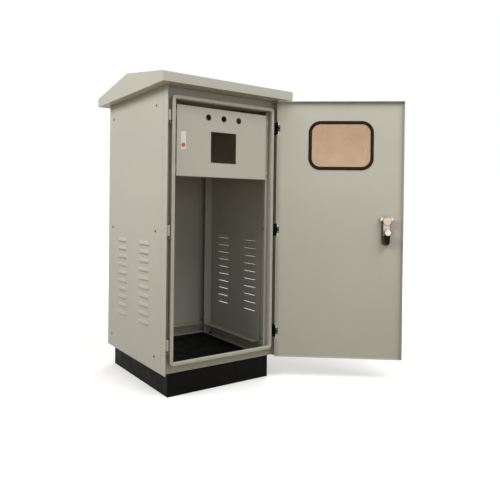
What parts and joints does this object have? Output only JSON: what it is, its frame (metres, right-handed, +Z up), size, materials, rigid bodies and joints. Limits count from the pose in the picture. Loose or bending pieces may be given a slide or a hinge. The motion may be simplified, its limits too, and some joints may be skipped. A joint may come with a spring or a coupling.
{
  "type": "outdoor electrical cabinet",
  "caption": "Tall outdoor electrical cabinet on a plinth, gabled rain canopy, louvred sides, windowed door standing open on a bare instrument panel.",
  "frame": {"origin": "centre of the plinth's underside, on the ground, between the four anchor holes", "axes": "+Z up; the front, with the door opening, faces -Y; +X is to the right seen from the front, the hinge side"},
  "size_m": [1.1104, 1.0369, 1.4199],
  "materials": {
    "cabinet_paint": "fine-texture powder coat, light warm grey",
    "plinth_paint": "satin black powder coat",
    "black_steel": "blackened steel, satin",
    "handle_paint": "black lacquered die casting, satin",
    "zinc_plated_steel": "bright zinc plating",
    "die_cast": "plain zinc-alloy casting, satin",
    "grey_rubber": "light grey extruded rubber, matt",
    "black_rubber": "black extruded rubber, satin",
    "filmed_pane": "acrylic under a tan protective film",
    "lock_plastic": "black moulded plastic, fine grain",
    "label_plastic": "plain white plastic strip",
    "cover_plastic": "light grey plastic"
  },
  "bodies": {
    "cabinet": {"plinth": "plinth_paint", "floor_plate": "plinth_paint", "plinth_bolts": "black_steel", "plinth_nuts": "black_steel", "post_front_left": "cabinet_paint", "post_front_right": "cabinet_paint", "post_rear_left": "cabinet_paint", "post_rear_right": "cabinet_paint", "bottom_rail_front": "cabinet_paint", "bottom_rail_rear": "cabinet_paint", "bottom_rail_left": "cabinet_paint", "bottom_rail_right": "cabinet_paint", "top_rail_front": "cabinet_paint", "top_rail_rear": "cabinet_paint", "top_rail_left": "cabinet_paint", "top_rail_right": "cabinet_paint", "door_frame": "cabinet_paint", "frame_seal": "grey_rubber", "side_panel_left": "cabinet_paint", "side_panel_right": "cabinet_paint", "rear_panel": "cabinet_paint", "panel_screws": "black_steel", "roof_panel": "cabinet_paint", "canopy": "cabinet_paint", "canopy_end_left": "cabinet_paint", "canopy_end_right": "cabinet_paint", "canopy_bolts": "zinc_plated_steel", "canopy_nuts": "zinc_plated_steel", "instrument_panel": "cabinet_paint", "instrument_panel_screws": "zinc_plated_steel", "panel_label": "label_plastic", "hinge_nuts_frame": "black_steel", "hinge_cover_top": "cover_plastic", "hinge_cover_middle": "cover_plastic", "hinge_cover_bottom": "cover_plastic", "hinge_leaf_frame_top": "black_steel", "hinge_leaf_frame_middle": "black_steel", "hinge_leaf_frame_bottom": "black_steel", "hinge_pin_top": "black_steel", "hinge_pin_middle": "black_steel", "hinge_pin_bottom": "black_steel"},
    "door": {"door": "cabinet_paint", "window_rubber": "black_rubber", "window_pane": "filmed_pane", "lock_base": "lock_plastic", "lock_housing": "die_cast", "lock_screws": "zinc_plated_steel", "lock_escutcheon": "handle_paint", "hinge_nuts_door": "black_steel", "hinge_leaf_door_top": "black_steel", "hinge_leaf_door_middle": "black_steel", "hinge_leaf_door_bottom": "black_steel"},
    "handle": {"handle_lever": "handle_paint", "lock_spindle": "zinc_plated_steel", "lock_cam": "black_steel", "spindle_nut": "zinc_plated_steel"},
    "key": {"key_plug": "zinc_plated_steel"}
  },
  "joints": [
    {"name": "door_hinge", "type": "hinge", "parent": "cabinet", "child": "door", "pos_m": [0.2935, -0.312, 0.705], "axis": [0, 0, 1], "range_deg": [-143, 17]},
    {"name": "handle_turn", "type": "hinge", "parent": "door", "child": "handle", "pos_m": [0.7012, -0.61923, 0.7], "axis": [-0.6018, -0.7986, 0], "range_deg": [0, 90]},
    {"name": "key_turn", "type": "hinge", "parent": "door", "child": "key", "pos_m": [0.7012, -0.61923, 0.746], "axis": [-0.6018, -0.7986, 0], "range_deg": [0, 90]}
  ]
}
